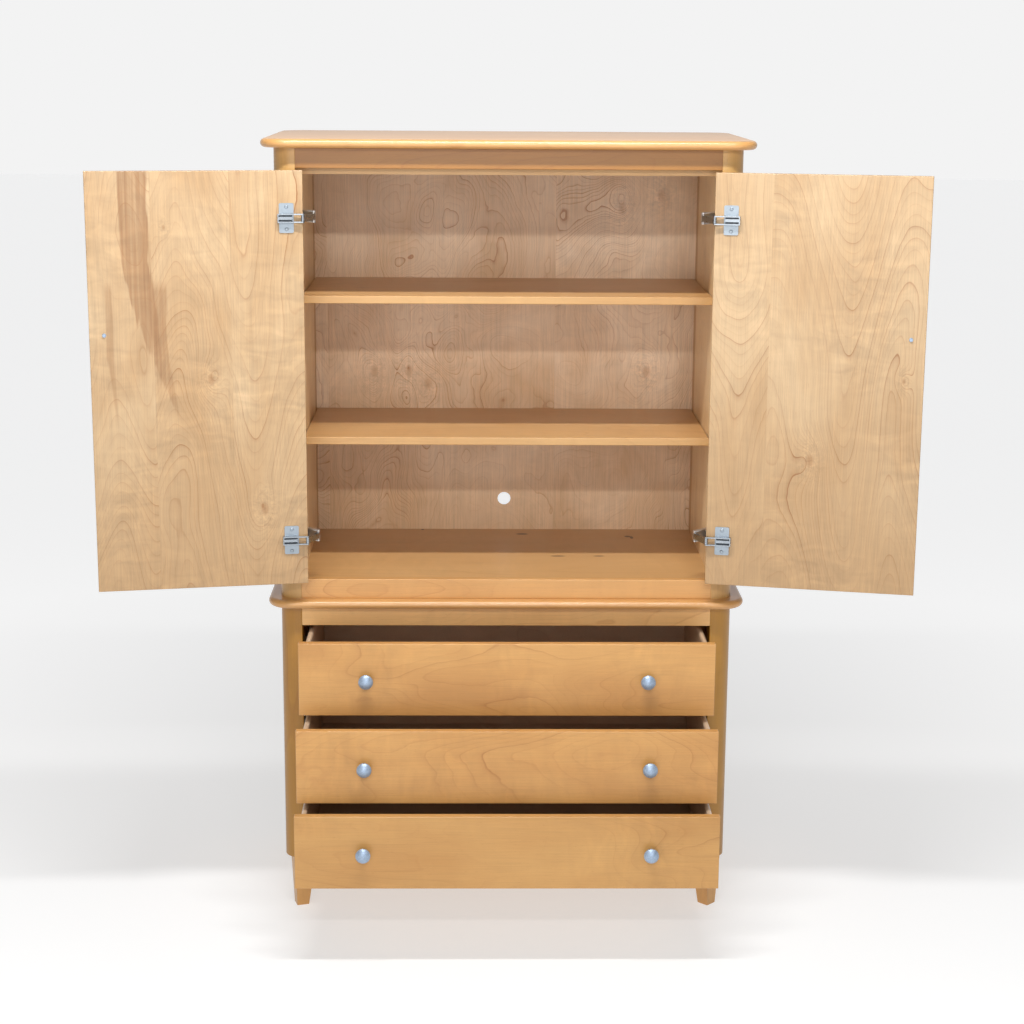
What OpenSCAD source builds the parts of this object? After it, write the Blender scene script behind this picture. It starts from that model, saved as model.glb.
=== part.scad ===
// Armoire in two parts: a base cabinet with three drawers, and a cabinet with two inset
// doors and two shelves that stands on it. +X is to the right of someone who faces it,
// +Y is its back and +Z is up. It is modelled standing open, and the origin is the floor
// point under the middle of the box that it fills in that state.

/* [Case] */
// Width across the posts
case_w = 1016; // [980:1:1060]
// Depth from the front of the posts to their back
case_d = 520; // [500:1:560]
// Height of the feet
foot_h = 129; // [100:1:150]
// Height of the door opening
door_opening_h = 908; // [880:1:960]
// Width of a post, seen from the front
post_w = 49; // [47:1:56]
// Depth of a post, seen from the side
post_d = 60; // [58:1:70]
// Radius of a post's rounded outer corner
post_round = 40; // [20:1:42]
// Height of the rails of the upper cabinet and over the drawers
rail_h = 44; // [38:1:60]

/* [Tops] */
// Thickness of the crown, the base top, the doors and the drawer fronts
board_t = 19; // [17:1:22]
// How far a top stands out at the front
top_front = 28; // [15:1:35]
// How far a top stands out at each side
top_side = 27; // [15:1:35]
// How far a top stands out at the back
top_back = 8; // [5:1:20]
// Radius of a top's corners, seen from above
top_corner_r = 55; // [30:1:70]

/* [Shelves] */
// Height of the lower shelf's top over the cabinet's floor
lower_shelf_h = 304; // [250:1:340]
// Height of the upper shelf's top over the cabinet's floor
upper_shelf_h = 623; // [560:1:700]
// Thickness of a shelf
shelf_t = 17; // [15:1:20]
// Distance of a shelf's front edge from the front of the posts
shelf_set = 104; // [70:1:140]
// Radius of the cable hole in the back
cable_hole_r = 16; // [10:1:30]

/* [Doors] */
// How far the left door stands open, in degrees
left_open = 169.5; // [0:0.1:170]
// How far the right door stands open, in degrees
right_open = 167.3; // [0:0.1:170]

/* [Drawers] */
// Height of a drawer front
drawer_h = 164; // [155:1:164]
// How far the top drawer is drawn out
top_out = 143; // [0:1:350]
// How far the middle drawer is drawn out
middle_out = 240; // [0:1:350]
// How far the bottom drawer is drawn out
bottom_out = 310; // [0:1:350]
// Radius of a knob
knob_r = 16; // [12:0.5:18]
// How far a knob stands out
knob_l = 28; // [24:1:32]

/* [Hidden] */
$fn = 48;

// Clearance of tenons, tongues and pins in their holes
fit = 0.1;

// Heights
drawer_gap = 4;
drawer_pitch = drawer_h + drawer_gap;
bottom_rail_h = 50;
z_base = foot_h;
z_bottom_rail_top = z_base + bottom_rail_h;
z_drawers_top = z_bottom_rail_top + 3 * drawer_pitch;
z_drawer_rail = z_drawers_top + 2;
z_base_top = z_drawer_rail + rail_h;
z_upper = z_base_top + board_t;
z_floor = z_upper + rail_h;
z_top_rail = z_floor + door_opening_h;
z_crown = z_top_rail + rail_h;

// Widths and depths
half_w = case_w / 2;
open_half = half_w - post_w;
post_back_y = case_d - post_d;
back_t = 6;
back_set = 8.5;
back_y = case_d - back_set - back_t;
tongue = 8;
tenon_l = 15;
tenon_t = 9;
tenon_shoulder = 5;
ease = 1.5;

// Side walls: an outer panel set back from the posts' outer face, and a lining that is
// flush with the posts' inner face
side_t = 12;
side_set = 10;
lining_t = 12;
side_out = half_w - side_set;
side_in = side_out - side_t;
panel_t = 18;
ceiling_t = 12;
ceiling_drop = 13;
z_ceiling = z_top_rail - ceiling_drop;
stop_y = board_t + 2;
base_floor_t = 12;

// Shelf pins
pin_r = 2.5;
pin_l = 20;
pin_ys = [shelf_set + 46, 430];
shelf_clear = 1.5;
cable_hole_z = z_floor + 78;

// Feet: tapered blocks, turned as their bolts left them
foot_top = 50;
foot_bottom = 28;
foot_x = half_w - 34;
foot_y = 44;
foot_splay = 6;
foot_turns = [17, 45, 45, 17];
bolt_r = 4;
bolt_l = 60;
bolt_x = half_w - 38;

// Doors
door_side_gap = 2;
door_mid_gap = 2;
door_gap_z = 2;
door_edge = open_half - door_side_gap;
door_w = door_edge - door_mid_gap / 2;
door_h = door_opening_h - 2 * door_gap_z;
z_door = z_floor + door_gap_z;
full_open = 170;
door_knob_in = 31;
door_knob_up = 560;
hinge_in = 100;
hinge_zs = [z_door + hinge_in, z_door + door_h - hinge_in];

// Hinge linkage, seen from above with the left door shut. A long link swings on a pin in
// the post's cup. A short link joins it to the arm on the door. Each turns at a constant
// rate with the door, and all the angles are those at the shut and the fully open door.
cup_r = 17.5;
cup_wall = 1;
cup_depth = 14;
cup_y = 34;
pin_radius = 1.9;
pin_play = 0.1;
case_pin = [-(open_half + 3), 33.5];
long_link = 56;
long_shut = 30;
long_open = -42;
short_link = 53;
short_shut = 217.3;
short_open = 249;
long_r = 4;
short_r = 3.6;
arm_r = 3.6;
web_in = 4.6;
web_out = 6.6;
web_start = 7;
web_l = long_link - 8;

// Layers of a hinge, as heights over and under its middle
short_high = 6.5;
arm_low = 7;
arm_high = 9.5;
long_low = 10;
long_high = 12.5;

// The cup's flange and the screws of the cups and the arms
flange_t = 1;
flange_w = 12;
flange_rim = 2;
ear_z = 24;
screw_r = 2;
screw_l = 15;
cup_screw_l = 11;
head_r = 4;
head_h = 1.5;

// The arm on the door's inner face
wing_mid = 37.5 - open_half;
wing_w = 31;
wing_h = 63;
wing_t = 2;
arm_end = 57 - open_half;
arm_root = 22;
arm_root_y = 26.5;
arm_base_t = 4;
arm_wall_h = 12;
ridge_h = 10;
ridge_half = 3;

// Drawers
front_gap = 2;
slide_room = 13;
box_half = open_half - slide_room;
box_side_t = 12;
box_drop = 12;
box_rise = 16;
box_h = drawer_h - box_drop - box_rise;
box_d = 450;
bottom_t = 6;
bottom_up = 10;
groove = 5;
housing = 4;
back_in = 5;
back_drop = 6;
knob_x = 309;
knob_screw_r = 2;
knob_bore_l = 14;
knob_head_h = 2.5;
drawer_outs = [top_out, middle_out, bottom_out];
drawer_zs = [for (k = [0 : 2]) z_drawers_top - drawer_h - k * drawer_pitch];

// Drawer slides: an outer channel on the case and an inner channel on the drawer
slide_wall = 1.2;
slide_len = 450;
slide_y = board_t + 2;
slide_leg = 10;
slide_z = box_rise + box_h / 2;
outer_h = 44;
inner_h = 32;
cleat_h = 60;

// Turning points
function turn(p, a) = [p[0] * cos(a) - p[1] * sin(a), p[0] * sin(a) + p[1] * cos(a)];
function long_angle(s) = (long_open - long_shut) * s;
function short_angle(s) = (short_open - short_shut) * s;
function middle_pin(s) = case_pin + turn([long_link, 0], long_shut + long_angle(s));
function door_pin(s) = middle_pin(s) + turn([short_link, 0], short_shut + short_angle(s));
function on_door(p, s) = door_pin(s) + turn(p - door_pin(0), -full_open * s);

// The box that the armoire fills as it stands: the doors' free edges at the sides, the
// bottom drawer's knobs at the front and the tops at the back
left_part = left_open / full_open;
right_part = right_open / full_open;
free_edge = door_w - door_edge - ease;
function reach(s) = max(
    -on_door([free_edge, ease], s)[0],
    -on_door([free_edge, board_t - ease], s)[0]
) + ease;
rest_mid_x = (reach(right_part) - reach(left_part)) / 2;
rest_front = max([for (d = drawer_outs) d]) + knob_l;
rest_mid_y = (case_d + top_back - rest_front) / 2;

wood = "#D5A265";
wood_dark = "#A97A45";
wood_pale = "#EBCB98";
inside = "#B08A6C";
metal = "#AEB6BE";
steel = "#8D9196";

// ---- Helpers ----

// Every piece is drawn about the case's middle and front, and moved here to the origin
module placed() {
    translate([-rest_mid_x, -rest_mid_y, 0]) children();
}

// A piece drawn for the left side, on the left (-1) or the right (1)
module on_side(side) {
    if (side < 0) children();
    else mirror([1, 0, 0]) children();
}

module both_sides() {
    children();
    mirror([1, 0, 0]) children();
}

// A piece drawn at the front, at the back
module at_back() {
    translate([0, case_d, 0]) mirror([0, 1, 0]) children();
}

// A cuboid from its lowest corner to its highest
module block(low, high) {
    translate(low) cube(high - low);
}

module round_rect(w, h, r) {
    translate([r, 0]) square([w - 2 * r, h]);
    translate([0, r]) square([w, h - 2 * r]);
    for (x = [r, w - r], y = [r, h - r]) translate([x, y]) circle(r);
}

// A board with all its edges eased to radius r
module eased_board(size, r) {
    intersection() {
        linear_extrude(size[2]) round_rect(size[0], size[1], r);
        translate([0, size[1], 0]) rotate([90, 0, 0])
            linear_extrude(size[1]) round_rect(size[0], size[2], r);
        rotate([90, 0, 90]) linear_extrude(size[0]) round_rect(size[1], size[2], r);
    }
}

// A bar with round ends about p and q, in plan
module link_plan(p, q, r) {
    d = q - p;
    translate(p) rotate(atan2(d[1], d[0])) {
        circle(r);
        translate([0, -r]) square([norm(d), 2 * r]);
        translate([norm(d), 0]) circle(r);
    }
}

// Plates between heights a and b over and under the hinge's middle
module plate_pair(a, b) {
    for (z = [a, -b]) translate([0, 0, z]) linear_extrude(b - a) children();
}

// A shape in plan, made as tall as from -high to high
module through(high) {
    translate([0, 0, -high]) linear_extrude(2 * high) children();
}

module at_hinges() {
    for (z = hinge_zs) translate([0, 0, z]) children();
}

// ---- Posts ----

module post_plan() {
    flat = post_w - post_round;
    translate([-half_w, 0]) intersection() {
        round_rect(post_w, post_d, ease);
        union() {
            translate([post_round, post_round]) circle(post_round);
            translate([post_round, 0]) square([flat, post_d]);
            translate([0, post_round]) square([post_w, post_d - post_round]);
        }
    }
}

// A left post with the groove for the side panel
module grooved_post(z0, z1) {
    difference() {
        translate([0, 0, z0]) linear_extrude(z1 - z0) post_plan();
        block([-side_out - fit, post_d - tongue - fit, z0 - 1],
            [-side_in + fit, post_d + 1, z1 + 1]);
    }
}

module rail_mortise(z0, h) {
    block([-open_half - tenon_l - fit, (board_t - tenon_t) / 2 - fit,
            z0 + tenon_shoulder - fit],
        [-open_half + 1, (board_t + tenon_t) / 2 + fit, z0 + h - tenon_shoulder + fit]);
}

module back_groove(z0, z1) {
    block([-open_half - tongue - fit, back_y - fit, z0 - 1],
        [-open_half + 1, back_y + back_t + fit, z1 + 1]);
}

module bolt_hole() {
    translate([-bolt_x, foot_y, z_base - bolt_l / 2 - 1])
        cylinder(r = bolt_r + fit, h = bolt_l + 2);
}

module base_front_post(side) {
    color(wood_dark) placed() on_side(side) difference() {
        grooved_post(z_base, z_base_top);
        rail_mortise(z_drawer_rail, rail_h);
        rail_mortise(z_base, bottom_rail_h);
        bolt_hole();
    }
}

module base_back_post(side) {
    color(wood_dark) placed() on_side(side) difference() {
        at_back() grooved_post(z_base, z_base_top);
        back_groove(z_base, z_base_top);
        at_back() bolt_hole();
    }
}

// The hole that a hinge cup is let into, in the post's inner face
module cup_hole() {
    translate([-open_half - cup_depth, cup_y, 0]) rotate([0, 90, 0])
        cylinder(r = cup_r, h = cup_depth + 1);
    cup_flange(flange_t + fit, fit);
    for (z = [-ear_z, ear_z]) translate([-open_half - cup_screw_l - 1, cup_y, z])
        rotate([0, 90, 0]) cylinder(r = screw_r + fit, h = cup_screw_l + 2);
}

module upper_front_post(side) {
    color(wood_dark) placed() on_side(side) difference() {
        grooved_post(z_upper, z_crown);
        rail_mortise(z_upper, rail_h);
        rail_mortise(z_top_rail, rail_h);
        at_hinges() cup_hole();
    }
}

module upper_back_post(side) {
    color(wood_dark) placed() on_side(side) difference() {
        at_back() grooved_post(z_upper, z_crown);
        back_groove(z_upper, z_crown);
    }
}

// ---- Rails, panels and tops ----

module rail(z0, h) {
    color(wood) placed() {
        translate([-open_half, 0, z0]) rotate([90, 0, 90])
            linear_extrude(2 * open_half) round_rect(board_t, h, ease);
        block([-open_half - tenon_l, (board_t - tenon_t) / 2, z0 + tenon_shoulder],
            [open_half + tenon_l, (board_t + tenon_t) / 2, z0 + h - tenon_shoulder]);
    }
}

module side_panel(side, z0, z1) {
    color(wood) placed() on_side(side)
        block([-side_out, post_d - tongue, z0], [-side_in, post_back_y + tongue, z1]);
}

module lining(side) {
    color(inside) placed() on_side(side) difference() {
        block([-open_half - lining_t, post_d, z_floor],
            [-open_half, post_back_y, z_ceiling]);
        for (h = [lower_shelf_h, upper_shelf_h], y = pin_ys) pin_hole(h, y);
    }
}

module pin_hole(h, y) {
    translate([-open_half - pin_l / 2 - fit, y, z_floor + h - shelf_t - pin_r])
        rotate([0, 90, 0]) cylinder(r = pin_r + fit, h = pin_l / 2 + 1);
}

module back_panel(z0, z1) {
    block([-open_half - tongue, back_y, z0], [open_half + tongue, back_y + back_t, z1]);
}

module base_back() {
    color(inside) placed() back_panel(z_base, z_base_top);
}

module upper_back() {
    color(inside) placed() difference() {
        back_panel(z_upper, z_crown);
        translate([0, back_y - 1, cable_hole_z]) rotate([-90, 0, 0])
            cylinder(r = cable_hole_r, h = back_t + 2);
    }
}

// A level panel between the posts, with wings out to the side panels between them
module level_panel(z0, z1, front_y) {
    block([-open_half, front_y, z0], [open_half, back_y, z1]);
    block([-side_in, post_d, z0], [side_in, post_back_y, z1]);
}

module base_floor() {
    color(inside) placed() level_panel(z_base, z_base + base_floor_t, board_t);
}

module upper_floor() {
    color(inside) placed() level_panel(z_floor - panel_t, z_floor, board_t);
}

module upper_ceiling() {
    color(inside) placed() level_panel(z_ceiling, z_ceiling + ceiling_t, stop_y);
}

module half_round(r) {
    intersection() {
        circle(r);
        translate([0, -r]) square([r, 2 * r]);
    }
}

// A top with round corners and a half-round edge all round
module top_board(z) {
    r = board_t / 2;
    w = case_w + 2 * top_side - 2 * r;
    d = case_d + top_front + top_back - 2 * r;
    c = top_corner_r - r;
    color(wood) placed() translate([-w / 2, r - top_front, z]) {
        linear_extrude(board_t) round_rect(w, d, c);
        for (i = [0 : 3]) {
            corner = [[w - c, d - c], [c, d - c], [c, c], [w - c, c]][i];
            run = [d, w, d, w][i] - 2 * c;
            translate([corner[0], corner[1], r]) rotate(90 * i) {
                rotate_extrude(angle = 90) translate([c, 0]) half_round(r);
                rotate([90, 0, 0]) linear_extrude(run) translate([c, 0]) half_round(r);
            }
        }
    }
}

module shelf(h) {
    w = 2 * (open_half - shelf_clear);
    color(inside) placed() translate([-w / 2, shelf_set, z_floor + h - shelf_t])
        eased_board([w, back_y - shelf_set - 0.5, shelf_t], ease);
}

module shelf_pins() {
    color(steel) placed() both_sides()
        for (h = [lower_shelf_h, upper_shelf_h], y = pin_ys)
            translate([-open_half - pin_l / 2, y, z_floor + h - shelf_t - pin_r])
                rotate([0, 90, 0]) cylinder(r = pin_r, h = pin_l);
}

// ---- Feet ----

// A square block with its bottom centre at the origin, tapered to the bottom, with its
// top moved sideways by shift
module tapered_block(top, bottom, h, shift) {
    function outline(s) = [
        [-bottom / 2, 0], [bottom / 2, 0], [s + top / 2, h], [s - top / 2, h]
    ];
    intersection() {
        translate([0, top, 0]) rotate([90, 0, 0])
            linear_extrude(2 * top) polygon(outline(shift[0]));
        translate([-top, 0, 0]) rotate([90, 0, 90])
            linear_extrude(2 * top) polygon(outline(shift[1]));
    }
}

// A foot and the bolt that holds it in the post. It is drawn at the front left.
module foot(side, back, spin) {
    color(wood) placed() on_side(side) at_end(back) {
        difference() {
            translate([-foot_x, foot_y, 0]) rotate(spin)
                tapered_block(foot_top, foot_bottom, foot_h, turn([foot_splay, 0], -spin));
            bolt_hole();
        }
        translate([-bolt_x, foot_y, z_base - bolt_l / 2])
            cylinder(r = bolt_r, h = bolt_l);
    }
}

module at_end(back) {
    if (back) at_back() children();
    else children();
}

// ---- Door hinges ----

// The cup's flange, let in flush with the post's inner face
module cup_flange(t, grow) {
    ear = flange_w / 2 + grow;
    translate([-open_half - t, cup_y, 0]) rotate([0, 90, 0]) {
        cylinder(r = cup_r + flange_rim + grow, h = t + grow);
        for (z = [-ear_z, ear_z]) translate([z, 0, 0]) cylinder(r = ear, h = t + grow);
        translate([-ear_z, -ear, 0]) cube([2 * ear_z, 2 * ear, t + grow]);
    }
}

module hinge_cup() {
    shell_r = cup_r - fit;
    difference() {
        union() {
            translate([-open_half - cup_depth + fit, cup_y, 0]) rotate([0, 90, 0])
                cylinder(r = shell_r, h = cup_depth - fit);
            cup_flange(flange_t, 0);
        }
        translate([-open_half - cup_depth + fit + cup_wall, cup_y, 0]) rotate([0, 90, 0])
            cylinder(r = shell_r - cup_wall, h = cup_depth + 1);
        for (z = [-ear_z, ear_z]) translate([-open_half - flange_t - 1, cup_y, z])
            rotate([0, 90, 0]) cylinder(r = screw_r + fit, h = flange_t + 2);
    }
    translate([case_pin[0], case_pin[1], fit - shell_r + cup_wall / 2])
        cylinder(r = pin_radius, h = 2 * (shell_r - fit) - cup_wall);
    for (z = [-ear_z, ear_z]) translate([-open_half - cup_screw_l, cup_y, z])
        rotate([0, 90, 0]) cylinder(r = screw_r, h = cup_screw_l);
}

module hinge_cups() {
    color(steel) placed() both_sides() at_hinges() hinge_cup();
}

// The long link: two plates over and under the others, joined by a web
module long_link_shape() {
    m = middle_pin(0);
    difference() {
        union() {
            plate_pair(long_low, long_high) long_link_plan(m);
            through(long_high) web_plan();
        }
        translate(case_pin) through(long_high + 1) circle(pin_radius + pin_play);
    }
    translate(m) through(long_high) circle(pin_radius);
}

module long_link_plan(m) {
    link_plan(case_pin, m, long_r);
    translate(case_pin) rotate(long_shut)
        translate([web_start, 0]) square([web_l, web_out]);
}

module web_plan() {
    translate(case_pin) rotate(long_shut)
        translate([web_start, web_in]) square([web_l, web_out - web_in]);
}

module short_link_shape() {
    m = middle_pin(0);
    p = door_pin(0);
    difference() {
        through(short_high) link_plan(m, p, short_r);
        for (c = [m, p]) translate(c) through(short_high + 1) circle(pin_radius + pin_play);
    }
}

// The arm on the back of the door: a plate with two wings, a channel with a ridge along
// it, and a fork that holds the short link's pin
module hinge_arm() {
    p = door_pin(0);
    root_x = p[0] + arm_root;
    plate_pair(arm_low, arm_high) {
        link_plan(p, [root_x, arm_root_y], arm_r);
        translate([root_x - 3, board_t]) square([arm_end - root_x + 3, arm_wall_h]);
    }
    translate(p) through(arm_high) circle(pin_radius);
    translate([root_x, board_t]) through(arm_high) square([arm_end - root_x, arm_base_t]);
    translate([root_x, board_t]) through(ridge_half) square([arm_end - root_x, ridge_h]);
    translate([arm_end - wing_t, board_t]) through(arm_high) square([wing_t, arm_wall_h]);
    difference() {
        translate([wing_mid - wing_w / 2, board_t + wing_t, -wing_h / 2]) rotate([90, 0, 0])
            linear_extrude(wing_t) round_rect(wing_w, wing_h, 3);
        for (z = [-ear_z, ear_z]) wing_hole(z);
    }
}

// The hole for a wing's screw, 13 mm into the door
module wing_hole(z) {
    translate([wing_mid, board_t - 13, z]) rotate([-90, 0, 0])
        cylinder(r = screw_r + fit, h = 20);
}

module wing_screw(z) {
    head_y = board_t + wing_t + fit / 2;
    translate([wing_mid, head_y - screw_l + 1, z]) rotate([-90, 0, 0]) {
        cylinder(r = screw_r, h = screw_l);
        translate([0, 0, screw_l - 1]) cylinder(r1 = head_r, r2 = head_r - head_h, h = head_h);
    }
}

// Pieces drawn for a shut left door, moved to where they are at a part s of its swing
module with_long_link(s) {
    translate(case_pin) rotate(long_angle(s)) translate(-case_pin) children();
}

module with_short_link(s) {
    translate(middle_pin(s)) rotate(short_angle(s)) translate(-middle_pin(0)) children();
}

module with_door(s) {
    translate(door_pin(s)) rotate(-full_open * s) translate(-door_pin(0)) children();
}

module long_links(side, s) {
    color(steel) placed() on_side(side) with_long_link(s) at_hinges() long_link_shape();
}

module short_links(side, s) {
    color(metal) placed() on_side(side) with_short_link(s) at_hinges() short_link_shape();
}

module hinge_arms(side, s) {
    color(metal) placed() on_side(side) with_door(s) at_hinges() {
        hinge_arm();
        for (z = [-ear_z, ear_z]) wing_screw(z);
    }
}

// ---- Doors ----

module door(side, s) {
    color(wood_pale) placed() on_side(side) with_door(s) difference() {
        translate([-door_edge, 0, z_door]) eased_board([door_w, board_t, door_h], ease);
        at_hinges() for (z = [-ear_z, ear_z]) wing_hole(z);
        translate([door_w - door_edge - door_knob_in, 0, z_door + door_knob_up]) knob_hole();
    }
}

module door_knob(side, s) {
    color(metal) placed() on_side(side) with_door(s)
        translate([door_w - door_edge - door_knob_in, 0, z_door + door_knob_up])
            knob_and_screw();
}

// ---- Knobs: they stand on the face y = 0 and point to the front ----

module knob_hole() {
    translate([0, board_t + 1, 0]) rotate([90, 0, 0])
        cylinder(r = knob_screw_r + 0.4, h = board_t + 2);
}

module knob_profile() {
    dome_r = 1.25 * knob_r;
    rim = knob_l - 12;
    intersection() {
        translate([0, knob_l - dome_r]) circle(dome_r);
        translate([0, rim]) square([knob_r, knob_l]);
    }
    polygon([
        [0, 0], [9, 0], [9, 2], [6.5, 5], [6.5, rim - 5], [knob_r - 1, rim - 1],
        [knob_r, rim], [0, rim]
    ]);
}

module knob_and_screw() {
    difference() {
        rotate([90, 0, 0]) rotate_extrude()
            intersection() {
                knob_profile();
                square(2 * knob_l);
            }
        translate([0, 1, 0]) rotate([90, 0, 0])
            cylinder(r = knob_screw_r + fit, h = knob_bore_l + 1);
    }
    translate([0, board_t + knob_head_h, 0]) rotate([90, 0, 0]) {
        cylinder(r1 = 3.5, r2 = 4.5, h = knob_head_h);
        cylinder(r = knob_screw_r, h = board_t + knob_head_h + knob_bore_l - 1);
    }
}

// ---- Drawers: k is 0 for the top one ----

module drawn_out(k) {
    placed() translate([0, -drawer_outs[k], drawer_zs[k]]) children();
}

module drawer_front(k) {
    w = 2 * (open_half - front_gap);
    color(wood) drawn_out(k) difference() {
        translate([-w / 2, 0, 0]) eased_board([w, board_t, drawer_h], ease);
        block([groove - box_half, board_t - groove - fit, box_rise + bottom_up - fit],
            [box_half - groove, board_t + 1, box_rise + bottom_up + bottom_t + fit]);
        for (x = [-knob_x, knob_x]) translate([x, 0, drawer_h / 2]) knob_hole();
    }
}

// A drawer side, back to front along Y, with a round top edge and the bottom's groove
module drawer_side() {
    r = box_side_t / 2;
    difference() {
        translate([-box_half, board_t + box_d, box_rise]) rotate([90, 0, 0])
            linear_extrude(box_d) {
                square([box_side_t, box_h - r]);
                translate([r, box_h - r]) circle(r);
            }
        bottom_space(fit);
        back_space(fit);
    }
}

// The box's back, whose ends are housed in the sides
module back_space(grow) {
    end = box_half - box_side_t + housing + grow;
    block([-end, board_t + box_d - box_side_t - back_in - grow, box_rise - grow],
        [end, board_t + box_d - back_in + grow, box_rise + box_h - back_drop]);
}

module bottom_space(grow) {
    edge = box_half - box_side_t + groove + grow;
    block([-edge, board_t - groove - grow, box_rise + bottom_up - grow],
        [edge, board_t + box_d - back_in - box_side_t + groove + grow,
            box_rise + bottom_up + bottom_t + grow]);
}

module drawer_box(k) {
    color(wood_pale) drawn_out(k) {
        both_sides() drawer_side();
        difference() {
            back_space(0);
            bottom_space(fit);
        }
    }
}

module drawer_bottom(k) {
    color(inside) drawn_out(k) bottom_space(0);
}

module drawer_knobs(k) {
    color(metal) drawn_out(k)
        for (x = [-knob_x, knob_x]) translate([x, 0, drawer_h / 2]) knob_and_screw();
}

// A channel of height h along Y, its web on x = 0 and its open side towards +X
module channel(h) {
    translate([0, slide_len, 0]) rotate([90, 0, 0]) linear_extrude(slide_len) {
        translate([0, -h / 2]) square([slide_wall, h]);
        for (z = [-h / 2, h / 2 - slide_wall])
            translate([0, z]) square([slide_leg, slide_wall]);
    }
}

module drawer_slides(k) {
    color(steel) drawn_out(k) both_sides()
        translate([-box_half, slide_y, slide_z]) mirror([1, 0, 0]) channel(inner_h);
}

module case_slides() {
    color(steel) placed() both_sides() for (z = drawer_zs)
        translate([-open_half, slide_y, z + slide_z]) channel(outer_h);
}

module slide_cleats() {
    color(wood_dark) placed() both_sides() for (z = drawer_zs)
        block([-side_in, post_d, z + slide_z - cleat_h / 2],
            [-open_half, post_back_y, z + slide_z + cleat_h / 2]);
}

// ---- Base cabinet ----
base_front_post(-1);  // base_post_front_left
base_front_post(1);  // base_post_front_right
base_back_post(-1);  // base_post_back_left
base_back_post(1);  // base_post_back_right
side_panel(-1, z_base, z_base_top);  // base_side_left
side_panel(1, z_base, z_base_top);  // base_side_right
base_back();
rail(z_drawer_rail, rail_h);  // base_top_rail
rail(z_base, bottom_rail_h);  // base_bottom_rail
base_floor();
top_board(z_base_top);  // base_top
foot(-1, false, foot_turns[0]);  // foot_front_left
foot(1, false, foot_turns[1]);  // foot_front_right
foot(-1, true, foot_turns[2]);  // foot_back_left
foot(1, true, foot_turns[3]);  // foot_back_right
slide_cleats();
case_slides();
// ---- Upper cabinet ----
upper_front_post(-1);  // upper_post_front_left
upper_front_post(1);  // upper_post_front_right
upper_back_post(-1);  // upper_post_back_left
upper_back_post(1);  // upper_post_back_right
side_panel(-1, z_upper, z_crown);  // upper_side_left
side_panel(1, z_upper, z_crown);  // upper_side_right
lining(-1);  // lining_left
lining(1);  // lining_right
upper_back();
rail(z_top_rail, rail_h);  // upper_top_rail
rail(z_upper, rail_h);  // upper_bottom_rail
upper_floor();
upper_ceiling();
top_board(z_crown);  // crown
shelf(lower_shelf_h);  // lower_shelf
shelf(upper_shelf_h);  // upper_shelf
shelf_pins();
hinge_cups();
// ---- Doors ----
door(-1, left_part);  // door_left
hinge_arms(-1, left_part);  // hinge_arms_left
long_links(-1, left_part);  // long_links_left
short_links(-1, left_part);  // short_links_left
door_knob(-1, left_part);  // door_knob_left
door(1, right_part);  // door_right
hinge_arms(1, right_part);  // hinge_arms_right
long_links(1, right_part);  // long_links_right
short_links(1, right_part);  // short_links_right
door_knob(1, right_part);  // door_knob_right
// ---- Drawers ----
drawer_front(0);  // top_drawer_front
drawer_box(0);  // top_drawer_box
drawer_bottom(0);  // top_drawer_bottom
drawer_knobs(0);  // top_drawer_knobs
drawer_slides(0);  // top_drawer_slides
drawer_front(1);  // middle_drawer_front
drawer_box(1);  // middle_drawer_box
drawer_bottom(1);  // middle_drawer_bottom
drawer_knobs(1);  // middle_drawer_knobs
drawer_slides(1);  // middle_drawer_slides
drawer_front(2);  // bottom_drawer_front
drawer_box(2);  // bottom_drawer_box
drawer_bottom(2);  // bottom_drawer_bottom
drawer_knobs(2);  // bottom_drawer_knobs
drawer_slides(2);  // bottom_drawer_slides
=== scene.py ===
import math

import bpy
from mathutils import Matrix, Vector


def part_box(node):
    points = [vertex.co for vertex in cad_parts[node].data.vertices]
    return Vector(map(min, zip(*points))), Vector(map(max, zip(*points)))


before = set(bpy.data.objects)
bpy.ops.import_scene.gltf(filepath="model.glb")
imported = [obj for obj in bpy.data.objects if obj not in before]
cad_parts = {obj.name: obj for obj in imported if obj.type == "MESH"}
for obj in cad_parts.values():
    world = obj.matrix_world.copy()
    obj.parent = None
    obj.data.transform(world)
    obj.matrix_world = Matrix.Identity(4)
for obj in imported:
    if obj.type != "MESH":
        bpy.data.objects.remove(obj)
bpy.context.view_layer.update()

# Everything is in metres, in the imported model's frame: +Z up, -Y to the front.

SIDES = ("left", "right")
DRAWERS = ("top", "middle", "bottom")

# Heights over a door's inner face: the top of a hinge plate, and the bottoms of its arm's slots
PLATE_TOP = 0.0024
SLOT_BOTTOM = (0.0035, 0.0055)
# Half the height of a hinge plate, and half the height of the arm that stands on it
PLATE_HALF = 0.0315
ARM_HALF = 0.0105


# ---- Colours ----

def colour(code):
    """A #rrggbb screen colour as linear red, green, blue and alpha."""
    channels = [int(code[i:i + 2], 16) / 255 for i in (1, 3, 5)]
    linear = [c / 12.92 if c <= 0.04045 else ((c + 0.055) / 1.055) ** 2.4 for c in channels]
    return (*linear, 1.0)


# ---- Shader graphs ----

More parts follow.
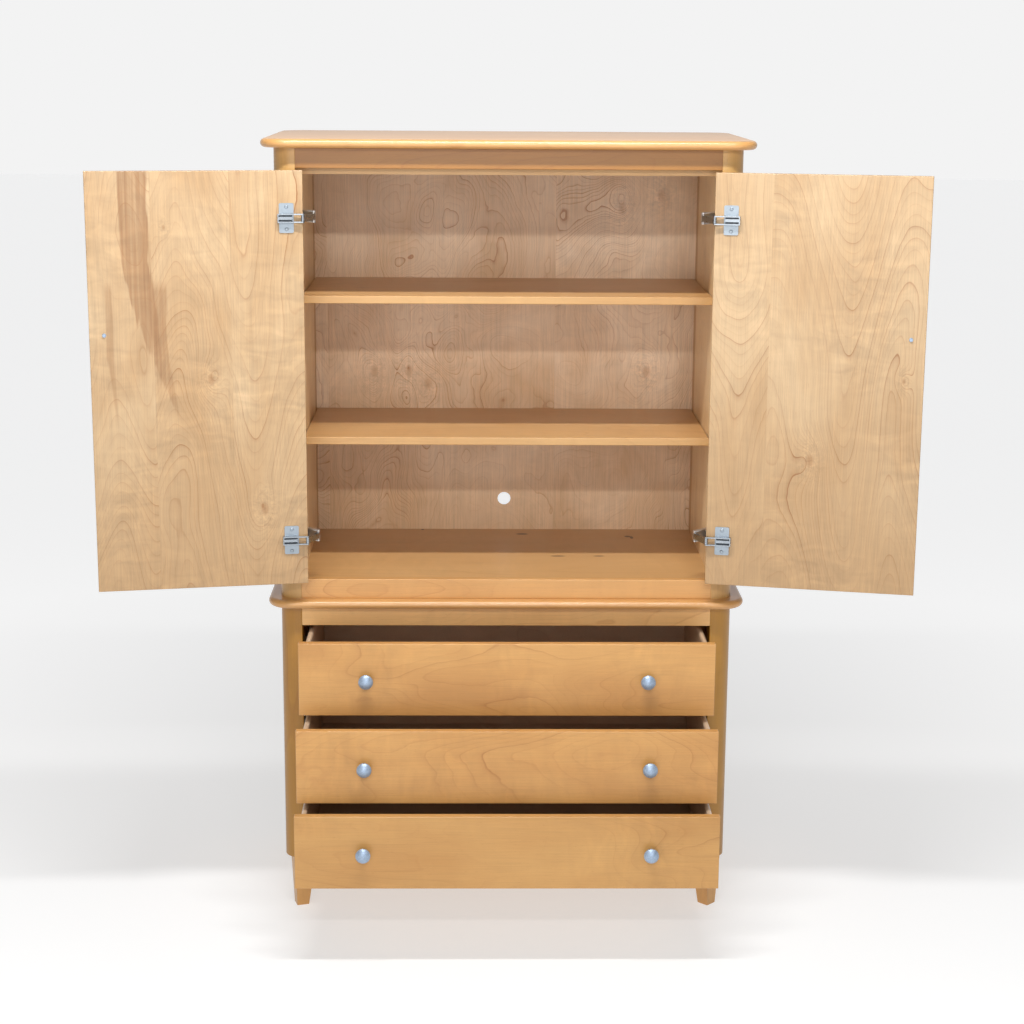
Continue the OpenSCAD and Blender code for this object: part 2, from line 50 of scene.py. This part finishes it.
class Graph:
    """The nodes of one material. Each method adds a node and returns its output socket."""

    def __init__(self, name):
        self.material = bpy.data.materials.new(name)
        self.material.use_nodes = True
        self.tree = self.material.node_tree
        self.tree.nodes.clear()
        output = self.tree.nodes.new("ShaderNodeOutputMaterial")
        self.shader = self.tree.nodes.new("ShaderNodeBsdfPrincipled")
        self.tree.links.new(self.shader.outputs[0], output.inputs["Surface"])

    def put(self, socket, value):
        if isinstance(value, bpy.types.NodeSocket):
            self.tree.links.new(value, socket)
        else:
            socket.default_value = value

    def node(self, kind, inputs, **settings):
        node = self.tree.nodes.new("ShaderNode" + kind)
        for key, value in settings.items():
            setattr(node, key, value)
        for key, value in inputs.items():
            self.put(node.inputs[key], value)
        return node

    def math(self, operation, a, b=0.0, clamp=False):
        return self.node("Math", {0: a, 1: b}, operation=operation, use_clamp=clamp).outputs[0]

    def vector(self, operation, a, b=(0, 0, 0)):
        return self.node("VectorMath", {0: a, 1: b}, operation=operation).outputs[0]

    def noise(self, vector, scale, detail=2.0, roughness=0.5, distortion=0.0):
        inputs = {"Vector": vector, "Scale": scale, "Detail": detail,
                  "Roughness": roughness, "Distortion": distortion}
        return self.node("TexNoise", inputs).outputs["Fac"]

    def ramp(self, factor, stops):
        """stops is a list of (place, grey or colour)."""
        node = self.node("ValToRGB", {"Fac": factor})
        elements = node.color_ramp.elements
        while len(elements) < len(stops):
            elements.new(0.5)
        for element, (place, value) in zip(elements, stops):
            element.position = place
            element.color = value if isinstance(value, tuple) else (value, value, value, 1)
        return node.outputs["Color"]

    def mix(self, factor, a, b, blend="MIX"):
        node = self.node("Mix", {}, data_type="RGBA", blend_type=blend)
        self.put(node.inputs[0], factor)
        self.put(node.inputs[6], a)
        self.put(node.inputs[7], b)
        return node.outputs[2]

    def finish(self, base, roughness, height=None, depth=0.0002, strength=0.3, **constants):
        self.put(self.shader.inputs["Base Color"], base)
        self.put(self.shader.inputs["Roughness"], roughness)
        for key, value in constants.items():
            self.shader.inputs[key.replace("_", " ").title()].default_value = value
        if height is not None:
            inputs = {"Height": height, "Strength": strength, "Distance": depth}
            self.put(self.shader.inputs["Normal"], self.node("Bump", inputs).outputs[0])
        return self.material


# ---- Materials ----

HEARTWOOD = colour("#8E6339")
DENT = colour("#2A170F")
SPECK = colour("#5A4A3A")


def stretch(along, ratio):
    """A scale that makes a pattern longer along the grain by 1 / ratio."""
    return tuple(ratio if axis == along else 1.0 for axis in "XYZ")


def maple(name, light, mid, vein, along="Z", across="X", seed=0.0, rings=14.0, figure=2.2,
          ratio=0.2, veins=0.5, blotches=0.5, seams=(), arches=(), knots=(), lean=0.0,
          stains=(), marks=(), wander=0.06, silk=0.35, fibres=0.1, tan=None, roughness=0.4,
          coat=0.25):
    """Lacquered maple: thin growth lines cut into arches, fibres, flecks and silky ripple, with the
    ripple's sheen painted into the colour.
    seams are the places across the grain where one veneer leaf meets the next.
    arches = (place, half width, amount) bends the lines into nested arches; lean is how fast
    they follow each other along the grain.
    knots = (across, along, radius, amount) rings the lines round a pin knot.
    stains = (across, half width, along start, along end, drift, strength) is brown heartwood.
    marks = (across, along, half width, half length) is a small dark dent or scratch.
    tan is the height under which the wood turns slowly browner."""
    g = Graph(name)
    place = g.node("TexCoord", {}).outputs["Object"]
    parts = g.node("SeparateXYZ", {0: place})
    u, v = parts.outputs["XYZ".index(across)], parts.outputs["XYZ".index(along)]
    sample = g.vector("ADD", place, (seed * 3.1, seed * 1.7, seed * 2.3))
    leaf_tone = None
    if seams:
        index = 0.0
        for seam in seams:
            index = g.math("ADD", g.math("GREATER_THAN", u, seam), index)
        jump = g.node("CombineXYZ", {0: g.math("MULTIPLY", index, 2.7),
                                     1: g.math("MULTIPLY", index, 5.3),
                                     2: g.math("MULTIPLY", index, 0.45)}).outputs[0]
        sample = g.vector("ADD", sample, jump)
        leaf_tone = g.node("TexWhiteNoise", {"W": g.math("ADD", index, seed)},
                           noise_dimensions="1D").outputs["Value"]

    long_way = g.vector("MULTIPLY", sample, stretch(along, ratio))
    field = g.noise(long_way, figure, 2.0, 0.45, 0.35)
    field = g.math("ADD", field, g.math("MULTIPLY", g.noise(long_way, 9.0, 2.0, 0.5), wander))
    field = g.math("ADD", field, g.math("MULTIPLY", g.noise(sample, 38.0, 1.0), wander * 0.12))
    if lean:
        field = g.math("ADD", field, g.math("MULTIPLY", v, lean))
    for where, half, amount in arches:
        off = g.math("DIVIDE", g.math("SUBTRACT", u, where), half)
        bell = g.math("POWER", math.e, g.math("MULTIPLY", g.math("MULTIPLY", off, off), -1.0))
        field = g.math("ADD", field, g.math("MULTIPLY", bell, amount))
    crinkle = None
    for where, level, radius, amount in knots:
        bell = round_bell(g, u, v, where, level, radius, 0.6)
        field = g.math("ADD", field, g.math("MULTIPLY", bell, amount))
        crinkle = bell if crinkle is None else g.math("MAXIMUM", crinkle, bell)

    count = g.math("MULTIPLY", field, rings)
    phase = g.math("FRACT", count)
    ring = g.ramp(phase, [(0.0, 0.0), (0.6, 0.05), (0.86, 0.3), (0.95, 1.0), (1.0, 0.0)])
    uneven = g.node("TexWhiteNoise", {"W": g.math("FLOOR", count)}, noise_dimensions="1D")
    presence = g.ramp(g.noise(long_way, 4.0, 2.0), [(0.38, 0.15), (0.62, 1.0)])
    ring = g.mix(1.0, ring, presence, "MULTIPLY")
    uneven = g.math("POWER", uneven.outputs["Value"], 1.8)
    ring = g.math("MULTIPLY", ring, g.math("ADD", g.math("MULTIPLY", uneven, 0.8), 0.2))
    band = g.math("SINE", g.math("MULTIPLY", count, 2.1))

    fibre = g.noise(g.vector("MULTIPLY", sample, stretch(along, 0.02)), 420.0, 3.0, 0.6)
    fleck = g.ramp(g.noise(g.vector("MULTIPLY", sample, stretch(along, 0.12)), 900.0, 1.0),
                   [(0.66, 0.0), (0.78, 1.0)])
    ripple = g.noise(g.vector("MULTIPLY", sample, stretch(along, 2.6)), 14.0, 2.0, 0.5, 0.8)
    blotch = g.noise(long_way, 8.0, 3.0, 0.55, 0.5)

    cloud = g.noise(g.vector("MULTIPLY", sample, stretch(along, 0.5)), 4.2, 2.0, 0.5, 0.6)
    blotch = g.math("ADD", g.math("MULTIPLY", blotch, 0.5), g.math("MULTIPLY", cloud, 0.5))
    base = g.mix(g.ramp(blotch, [(0.38, 0.0), (0.62, 1.0)]), light, mid)
    base = g.mix(blotches, light, base)
    if tan:
        low_part = g.math("MULTIPLY", g.math("SUBTRACT", tan, v), 2.4, True)
        base = g.mix(low_part, base, mid)
    if seams:
        base = g.mix(g.math("MULTIPLY", leaf_tone, 0.45), base, mid)
    patch = g.ramp(g.noise(sample, 4.5, 1.0), [(0.42, 0.25), (0.62, 1.0)])
    # Painted sheen: the silky ripple, a faint band along the growth lines and, below, the flame
    # round the knots lighten and darken the colour.
    sheen = g.math("MULTIPLY", g.math("SUBTRACT", ripple, 0.5), silk)
    glow = g.math("ADD", g.math("MULTIPLY", sheen, patch), g.math("MULTIPLY", band, silk * 0.05))
    if crinkle:
        flame = g.noise(g.vector("MULTIPLY", sample, (1, 1, 1.4)), 75.0, 3.0, 0.6, 1.2)
        glow = g.math("ADD", glow, g.math("MULTIPLY", g.math("MULTIPLY", crinkle, 0.9),
                                          g.math("SUBTRACT", flame, 0.5)))
    for stain in stains:
        base = g.mix(heartwood(g, u, v, sample, along, *stain), base, HEARTWOOD)
    base = g.mix(g.math("MULTIPLY", ring, veins), base, vein)
    threads = g.math("MULTIPLY", g.math("SUBTRACT", fibre, 0.5), fibres * 2.5)
    # The fibre threads are the wood's own grain; the rest of this factor is the painted sheen.
    shade = g.math("ADD", g.math("ADD", threads, 1.0), glow)
    grey = g.node("CombineXYZ", {0: shade, 1: shade, 2: shade}).outputs[0]
    base = g.mix(1.0, base, grey, "MULTIPLY")
    base = g.mix(g.math("MULTIPLY", fleck, 0.22), base, vein)
    for where, level, half, reach in marks:
        bell = round_bell(g, u, v, where, level, half, half / reach)
        bell = g.math("MULTIPLY", g.math("SUBTRACT", bell, 0.35), 3.0, True)
        base = g.mix(g.math("MULTIPLY", bell, 0.85), base, DENT)
    if crinkle:
        core = g.math("MULTIPLY", g.math("SUBTRACT", crinkle, 0.9), 8.0, True)
        base = g.mix(g.math("MULTIPLY", core, 0.6), base, vein)

    gloss = g.math("ADD", g.math("MULTIPLY", fibre, 0.12), roughness - 0.06)
    height = g.math("ADD", fibre, g.math("MULTIPLY", ring, 0.6))
    return g.finish(base, gloss, height, 0.0003, 0.25,
                    coat_weight=coat, coat_roughness=0.22)


def round_bell(g, u, v, where, height, radius, squash):
    """1 at a spot on the face, falling to 0 about two radii away."""
    du = g.math("DIVIDE", g.math("SUBTRACT", u, where), radius)
    dv = g.math("MULTIPLY", g.math("DIVIDE", g.math("SUBTRACT", v, height), radius), squash)
    far = g.math("ADD", g.math("MULTIPLY", du, du), g.math("MULTIPLY", dv, dv))
    return g.math("POWER", math.e, g.math("MULTIPLY", far, -1.0))


def heartwood(g, u, v, sample, along, where, half, start, end, drift, strength):
    """How brown the wood is: a streak with torn, fibrous edges that drifts as it runs."""
    ragged = g.noise(g.vector("MULTIPLY", sample, stretch(along, 0.1)), 34.0, 3.0, 0.65)
    down = g.math("DIVIDE", g.math("SUBTRACT", v, start), end - start)
    late = g.math("MULTIPLY", g.math("SUBTRACT", down, 0.45), 1.8, True)
    width = g.math("MULTIPLY", g.math("SUBTRACT", 1.0, g.math("MULTIPLY", late, 0.7)), half)
    width = g.math("ADD", width, g.math("MULTIPLY", g.math("SUBTRACT", ragged, 0.5), half * 1.5))
    centre = g.math("ADD", g.math("MULTIPLY", late, drift), g.math("MULTIPLY", down, drift * 0.15))
    off = g.math("ABSOLUTE", g.math("SUBTRACT", g.math("SUBTRACT", u, where), centre))
    inside = g.math("MULTIPLY", g.math("SUBTRACT", width, off), 260.0, True)
    fade = g.math("MULTIPLY", g.math("SUBTRACT", g.math("ADD", g.math("SUBTRACT", 1.0, down),
                  g.math("MULTIPLY", ragged, 0.6)), 0.28), 5.0, True)
    begin = g.math("MULTIPLY", g.math("ADD", down, 0.15), 12.0, True)
    grain = g.ramp(g.noise(g.vector("MULTIPLY", sample, stretch(along, 0.03)), 150.0, 2.0),
                   [(0.3, 0.4), (0.7, 0.95)])
    return g.math("MULTIPLY", g.math("MULTIPLY", g.math("MULTIPLY", inside, fade), begin),
                  g.math("MULTIPLY", grain, strength))


def dimmed(tone, factor):
    return tuple(c * factor for c in tone[:3]) + (1,)


def metal(name, tone, roughness, scratch_axis="X", specks=0.0, metallic=1.0, pebbles=0.0):
    """Plated metal with fine brush lines, faint smudges and uneven gloss.
    pebbles is how strongly the face is dimpled, with dimples about 2 mm across and painted shade in
    their hollows."""
    g = Graph(name)
    place = g.node("TexCoord", {}).outputs["Object"]
    lines = g.noise(g.vector("MULTIPLY", place, stretch(scratch_axis, 0.03)), 2600.0, 2.0, 0.6)
    smudge = g.noise(place, 55.0, 3.0, 0.6)
    bright = tuple(min(1, c * 1.12) for c in tone)
    base = g.mix(g.ramp(lines, [(0.3, 0.0), (0.7, 1.0)]), tone, bright)
    base = g.mix(g.math("MULTIPLY", smudge, 0.3), base, dimmed(tone, 0.72))
    if specks:
        spot = g.ramp(g.noise(place, 700.0, 1.0), [(0.68, 0.0), (0.72, 1.0)])
        base = g.mix(g.math("MULTIPLY", spot, specks), base, SPECK)
    relief = lines
    if pebbles:
        dimple = g.noise(place, 520.0, 1.0, 0.5)
        # Painted shade: the colour darkens in the hollows of the dimples.
        base = g.mix(g.math("MULTIPLY", g.ramp(dimple, [(0.42, 1.0), (0.58, 0.0)]), pebbles),
                     base, dimmed(tone, 0.55))
        relief = g.math("ADD", lines, g.math("MULTIPLY", dimple, 2.0 * pebbles))
    gloss = g.math("ADD", g.math("MULTIPLY", smudge, 0.16), roughness - 0.06)
    return g.finish(base, gloss, relief, 0.00006, 0.5, metallic=metallic)


def tones(code, contrast=1.0):
    """Light wood, darker wood and growth line of one board, from its overall colour.
    contrast above 1 deepens the darker wood."""
    base = colour(code)
    darker = tuple(k ** contrast for k in (0.88, 0.80, 0.68))
    factors = ((1.10, 1.13, 1.14), darker, (0.56, 0.34, 0.17))
    return tuple(tuple(min(1.0, c * k) for c, k in zip(base, ks)) + (1.0,) for ks in factors)


HONEY = tones("#C69358")
# The base top rail's tone is lighter than HONEY: painted light that makes up for the shade under
# the base top's overhang.
BASE_RAIL_PAINTED_LIGHT = tones("#E0B072")
# The upper top rail's tone is darker than HONEY: painted shade from the crown's overhang.
TOP_RAIL_PAINTED_SHADE = tones("#95642A")
FRONT = tones("#C59254")
# The bottom drawer's front is a darker copy of the other fronts' tone: painted shade.
LOW_FRONT_PAINTED_SHADE = tones("#BF8F52")
POST = tones("#C0965B")
# The base posts' tone is darker than the upper posts': partly darker wood and partly painted shade.
BASE_POST_DARKER_AND_SHADED = tones("#A67524")
STRAW = tones("#BD9F7A")
INNER = tones("#E6CCAF", contrast=1.7)
LINING = tones("#E6CBA0")
SHELF = tones("#BE9461")
BOX = tones("#C6AC92")


def paint(node, material):
    """Gives a CAD node's object one material."""
    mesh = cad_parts[node].data
    mesh.materials.clear()
    mesh.materials.append(material)


def board_axis(node):
    """The axis that a board is longest along."""
    low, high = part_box(node)
    size = high - low
    return "XYZ"[max(range(3), key=lambda i: size[i])]


SEED = {name: 1 + i for i, name in enumerate(sorted(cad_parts))}


def wooden(node, wood, **options):
    """Gives a board maple in the three tones of wood, with the grain along its longest side."""
    options.setdefault("along", board_axis(node))
    paint(node, maple("wood_" + node, *wood, seed=SEED[node], **options))


def paint_case():
    """The wood of the base and the upper cabinet. Each kind of board has its own grain."""
    for end in ("front", "back"):
        for side in SIDES:
            # The base posts get a darker tone than the upper posts: partly darker wood, partly
            # painted shade.
            for part, wood in (("base_post", BASE_POST_DARKER_AND_SHADED), ("upper_post", POST)):
                wooden(f"{part}_{end}_{side}", wood, figure=6.0, rings=7.0, veins=0.35)
            wooden(f"foot_{end}_{side}", FRONT, along="Z", figure=8.0, veins=0.4)
    for node in ("base_side_left", "base_side_right", "upper_side_left", "upper_side_right"):
        wooden(node, HONEY, along="Z", figure=2.4, rings=9.0, veins=0.4)
    # The top rails have tones of their own: painted light on the base one, painted shade on the
    # upper one.
    for node, wood in (("base_top_rail", BASE_RAIL_PAINTED_LIGHT), ("base_bottom_rail", HONEY),
                       ("upper_top_rail", TOP_RAIL_PAINTED_SHADE), ("upper_bottom_rail", HONEY)):
        wooden(node, wood, across="Z", figure=7.0, rings=20.0, veins=0.55, silk=0.2)
    for node in ("crown", "base_top"):
        wooden(node, HONEY, across="Y", figure=3.0, rings=16.0, veins=0.35, silk=0.2, coat=0.55)
    for node in ("lower_shelf", "upper_shelf", "upper_ceiling", "base_floor"):
        wooden(node, SHELF, across="Y", figure=3.0, rings=16.0, veins=0.4, silk=0.2, coat=0.1)
    wooden("upper_floor", SHELF, across="Y", figure=3.0, rings=18.0, veins=0.5, silk=0.2, coat=0.1,
           marks=[(0.357, 0.045, 0.009, 0.017), (0.333, 0.303, 0.010, 0.009),
                  (0.322, 0.312, 0.016, 0.005), (0.402, -0.2, 0.007, 0.004),
                  (0.129, 0.125, 0.006, 0.02), (0.130, 0.221, 0.005, 0.015)])
    for node in ("upper_back", "base_back"):
        knots = []
        if node == "upper_back":
            knots = [(*spot(node, *place), 0.035, 0.1) for place in (
                (0.16, 0.56), (0.30, 0.59), (0.25, 0.56), (0.80, 0.16), (0.87, 0.56), (0.9, 0.13))]
        wooden(node, INNER, along="Z", figure=3.6, rings=105.0, ratio=0.6, veins=1.9, wander=0.07,
               fibres=0.2, blotches=1.0, silk=0.3, knots=knots, tan=spot(node, 0, 0.75)[1],
               seams=[spot(node, 0.63, 0)[0], spot(node, 0.04, 0)[0]])
    for node in ("lining_left", "lining_right"):
        wooden(node, LINING, along="Z", across="Y", figure=4.0, rings=16.0, ratio=0.25, veins=0.5)
    wooden("slide_cleats", BOX, along="Y", veins=0.3)


def spot(node, across, down):
    """A place on a board's front, as fractions of its width from the left and of its height from
    the top."""
    low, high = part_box(node)
    return low.x + across * (high.x - low.x), high.z - down * (high.z - low.z)


def places_on(node):
    """A function that gives a place on the node as spot does, with any further numbers after it."""
    def place(across, down, *rest):
        return (*spot(node, across, down), *rest)
    return place


def paint_doors():
    """The photo shows the doors' inner faces best, so each door has its own figure."""
    at = places_on("door_left")
    top, middle, low_end = (spot("door_left", 0, down)[1] for down in (-0.03, 0.5, 0.62))
    upper, lower = spot("door_left", 0, 0.3)[1], spot("door_left", 0, 0.6)[1]
    wooden("door_left", STRAW, along="Z", figure=2.8, rings=48.0, ratio=0.42, veins=1.2,
           blotches=1.0, silk=0.57, wander=0.05, lean=0.45, fibres=0.17,
           tan=spot("door_left", 0, 0.55)[1],
           seams=[at(0.3, 0)[0], at(0.66, 0)[0]],
           arches=[(at(0.74, 0)[0], 0.07, 0.2), (at(0.12, 0)[0], 0.05, -0.1),
                   (at(0.42, 0)[0], 0.05, -0.12)],
           knots=[at(0.56, 0.49, 0.026, 0.12), at(0.80, 0.81, 0.03, 0.12),
                  at(0.36, 0.13, 0.012, 0.08)],
           stains=[(at(0.225, 0)[0], 0.032, top, middle, 0.045, 0.85),
                   (at(0.33, 0)[0], 0.017, upper, low_end, 0.04, 0.7),
                   (at(0.10, 0)[0], 0.008, upper, lower, 0.01, 0.6)])

    on = places_on("door_right")
    wooden("door_right", STRAW, along="Z", figure=2.6, rings=48.0, ratio=0.38, veins=1.25,
           blotches=1.0, silk=0.55, wander=0.05, lean=0.38, fibres=0.17,
           tan=spot("door_right", 0, 0.5)[1],
           seams=[on(0.27, 0)[0]],
           arches=[(on(0.62, 0)[0], 0.075, 0.26), (on(0.1, 0)[0], 0.05, 0.1),
                   (on(0.86, 0)[0], 0.05, -0.12)],
           knots=[on(0.9, 0.48, 0.014, 0.1), on(0.48, 0.68, 0.03, -0.12)])


def paint_drawers():
    """The grain runs across the fronts. The boxes are paler."""
    for name in DRAWERS:
        # The bottom front's darker tone is painted shade.
        wood = LOW_FRONT_PAINTED_SHADE if name == "bottom" else FRONT
        wooden(f"{name}_drawer_front", wood, along="X", across="Z", figure=3.2, rings=44.0,
               ratio=0.34, veins=0.85, blotches=0.8, silk=0.26)
        wooden(f"{name}_drawer_box", BOX, along="Y", figure=6.0, rings=6.0, veins=0.3)
        wooden(f"{name}_drawer_bottom", BOX, along="X", figure=3.0, veins=0.3)


def paint_metal():
    """The knobs, the hinges, the slides and the pins under the shelves."""
    nickel = metal("satin_nickel", colour("#A9BCD3"), 0.46, metallic=0.6, pebbles=0.5)
    zinc = metal("hinge_zinc", colour("#A3ADB6"), 0.42, metallic=0.8)
    chrome = metal("hinge_chrome", colour("#A4ABB2"), 0.26)
    # Painted shade: a dark metal for the bottoms of the hinge arms' slots.
    slot_shade = metal("hinge_slot_shade", colour("#4C5157"), 0.4, metallic=0.6)
    steel = metal("hinge_steel", colour("#CBC8C4"), 0.3, specks=0.3, metallic=0.85)
    slides = metal("slide_steel", colour("#9EA2A6"), 0.36, "Y")
    for side in SIDES:
        paint("door_knob_" + side, nickel)
        paint("short_links_" + side, chrome)
        paint("long_links_" + side, steel)
        paint("hinge_arms_" + side, zinc)
        paint_arm(side, chrome, slot_shade)
    for name in DRAWERS:
        paint(f"{name}_drawer_knobs", nickel)
        paint(f"{name}_drawer_slides", slides)
    paint("hinge_cups", steel)
    paint("case_slides", slides)
    paint("shelf_pins", slides)


def door_face(side):
    """A point on a door's inner face and the direction it faces, from the door's largest face."""
    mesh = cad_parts["door_" + side].data
    inner = max((p for p in mesh.polygons if p.normal.y < -0.5), key=lambda p: p.area)
    return inner.center, inner.normal


def paint_arm(side, chrome, slot_shade):
    """The arm that stands on each hinge plate is bright, and the bottoms of its slots are painted
    dark as shade.
    """
    point, out = door_face(side)
    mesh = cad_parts["hinge_arms_" + side].data
    mesh.materials.append(chrome)
    mesh.materials.append(slot_shade)
    low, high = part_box("hinge_arms_" + side)
    levels = (low.z + PLATE_HALF, high.z - PLATE_HALF)
    for face in mesh.polygons:
        height = (face.center - point).dot(out)
        near = min(abs(face.center.z - level) for level in levels)
        if height > PLATE_TOP and near < ARM_HALF:
            lowest, highest = SLOT_BOTTOM
            bottom = lowest < height < highest and face.normal.dot(out) > 0.9
            face.material_index = 2 if bottom else 1


# ---- Floor, light and camera ----

def plane(name, size, place, material):
    """A level square for the stage, which doesn't count as part of the armoire."""
    mesh = bpy.data.meshes.new(name)
    half = size / 2
    corners = [(-half, -half, 0), (half, -half, 0), (half, half, 0), (-half, half, 0)]
    mesh.from_pydata(corners, [], [(0, 1, 2, 3)])
    obj = bpy.data.objects.new(name, mesh)
    obj.location = place
    mesh.materials.append(material)
    bpy.context.scene.collection.objects.link(obj)


FLOOR_SIZE = 60.0
# The distance that the stops of the floor's glow are fractions of
GLOW_REACH = 9.0


def pale_floor():
    """A pale floor that glows more with distance, to come near the background's brightness."""
    g = Graph("pale_floor")
    place = g.node("TexCoord", {}).outputs["Object"]
    cloud = g.noise(place, 0.8, 3.0)
    base = g.mix(cloud, colour("#BABABA"), colour("#C0C0BF"))
    away = g.node("VectorMath", {0: place}, operation="LENGTH").outputs["Value"]
    far = g.math("DIVIDE", away, GLOW_REACH)
    glow = g.ramp(far, [(0.1, 0.5), (0.35, 0.66), (0.9, 0.68)])
    g.put(g.shader.inputs["Emission Color"], glow)
    g.shader.inputs["Emission Strength"].default_value = 1.0
    return g.finish(base, g.math("ADD", g.math("MULTIPLY", cloud, 0.1), 0.6))


def area_light(name, place, target, size, power):
    data = bpy.data.lights.new(name, "AREA")
    data.shape = "RECTANGLE"
    data.size, data.size_y = size
    data.energy = power
    obj = bpy.data.objects.new(name, data)
    obj.location = place
    obj.rotation_mode = "QUATERNION"
    obj.rotation_quaternion = (Vector(target) - Vector(place)).to_track_quat("-Z", "Y")
    bpy.context.scene.collection.objects.link(obj)


def add_light():
    """Two ceiling lamps, one in front of the armoire and one over the camera, and a soft front
    fill. The world lights the scene more strongly from behind the armoire."""
    area_light("ceiling_near", (-0.1, -1.1, 3.2), (-0.1, -0.7, 0.8), (1.6, 0.12), 64)
    area_light("ceiling_far", (0.1, -4.7, 3.3), (0, 0, 1.1), (2.4, 0.12), 66)
    area_light("soft_front", (-0.6, -5.3, 1.7), (0, 0, 1.0), (3.5, 2.5), 55)
    world = bpy.data.worlds.new("studio")
    bpy.context.scene.world = world
    world.use_nodes = True
    tree = world.node_tree
    output = next(n for n in tree.nodes if n.type == "OUTPUT_WORLD")
    seen, lighting = (tree.nodes.new("ShaderNodeBackground") for i in range(2))
    seen.inputs["Color"].default_value = colour("#F3F3F3")
    lighting.inputs["Color"].default_value = colour("#F4F5F7")
    toward = tree.nodes.new("ShaderNodeTexCoord")
    split = tree.nodes.new("ShaderNodeSeparateXYZ")
    behind = tree.nodes.new("ShaderNodeMapRange")
    tree.links.new(toward.outputs["Generated"], split.inputs[0])
    tree.links.new(split.outputs["Y"], behind.inputs["Value"])
    for key, value in (("From Min", 0.5), ("From Max", 0.98), ("To Min", 0.25), ("To Max", 0.85)):
        behind.inputs[key].default_value = value
    tree.links.new(behind.outputs["Result"], lighting.inputs["Strength"])
    which = tree.nodes.new("ShaderNodeMixShader")
    ray = tree.nodes.new("ShaderNodeLightPath")
    tree.links.new(ray.outputs["Is Camera Ray"], which.inputs[0])
    tree.links.new(lighting.outputs[0], which.inputs[1])
    tree.links.new(seen.outputs[0], which.inputs[2])
    tree.links.new(which.outputs[0], output.inputs["Surface"])


# The camera: its place, its lens and how it is turned, in degrees
CAMERA_PLACE = (-0.067, -4.548, 1.933)
CAMERA_LENS = 72.06
CAMERA_YAW, CAMERA_PITCH, CAMERA_ROLL = -1.02, 12.48, 0.38


def add_camera():
    """The camera as it was fitted to the photo's edges."""
    yaw, pitch, roll = (math.radians(a) for a in (CAMERA_YAW, CAMERA_PITCH, CAMERA_ROLL))
    turn = (Matrix.Rotation(yaw, 3, "Z") @ Matrix.Rotation(math.pi / 2 - pitch, 3, "X")
            @ Matrix.Rotation(roll, 3, "Z"))
    data = bpy.data.cameras.new("camera")
    data.lens = CAMERA_LENS
    obj = bpy.data.objects.new("camera", data)
    obj.rotation_euler = turn.to_euler()
    obj.location = CAMERA_PLACE
    bpy.context.scene.collection.objects.link(obj)
    bpy.context.scene.camera = obj


bpy.context.scene.view_settings.view_transform = "Standard"
paint_case()
paint_doors()
paint_drawers()
paint_metal()
plane("floor", FLOOR_SIZE, (0, 0, 0), pale_floor())
add_light()
add_camera()
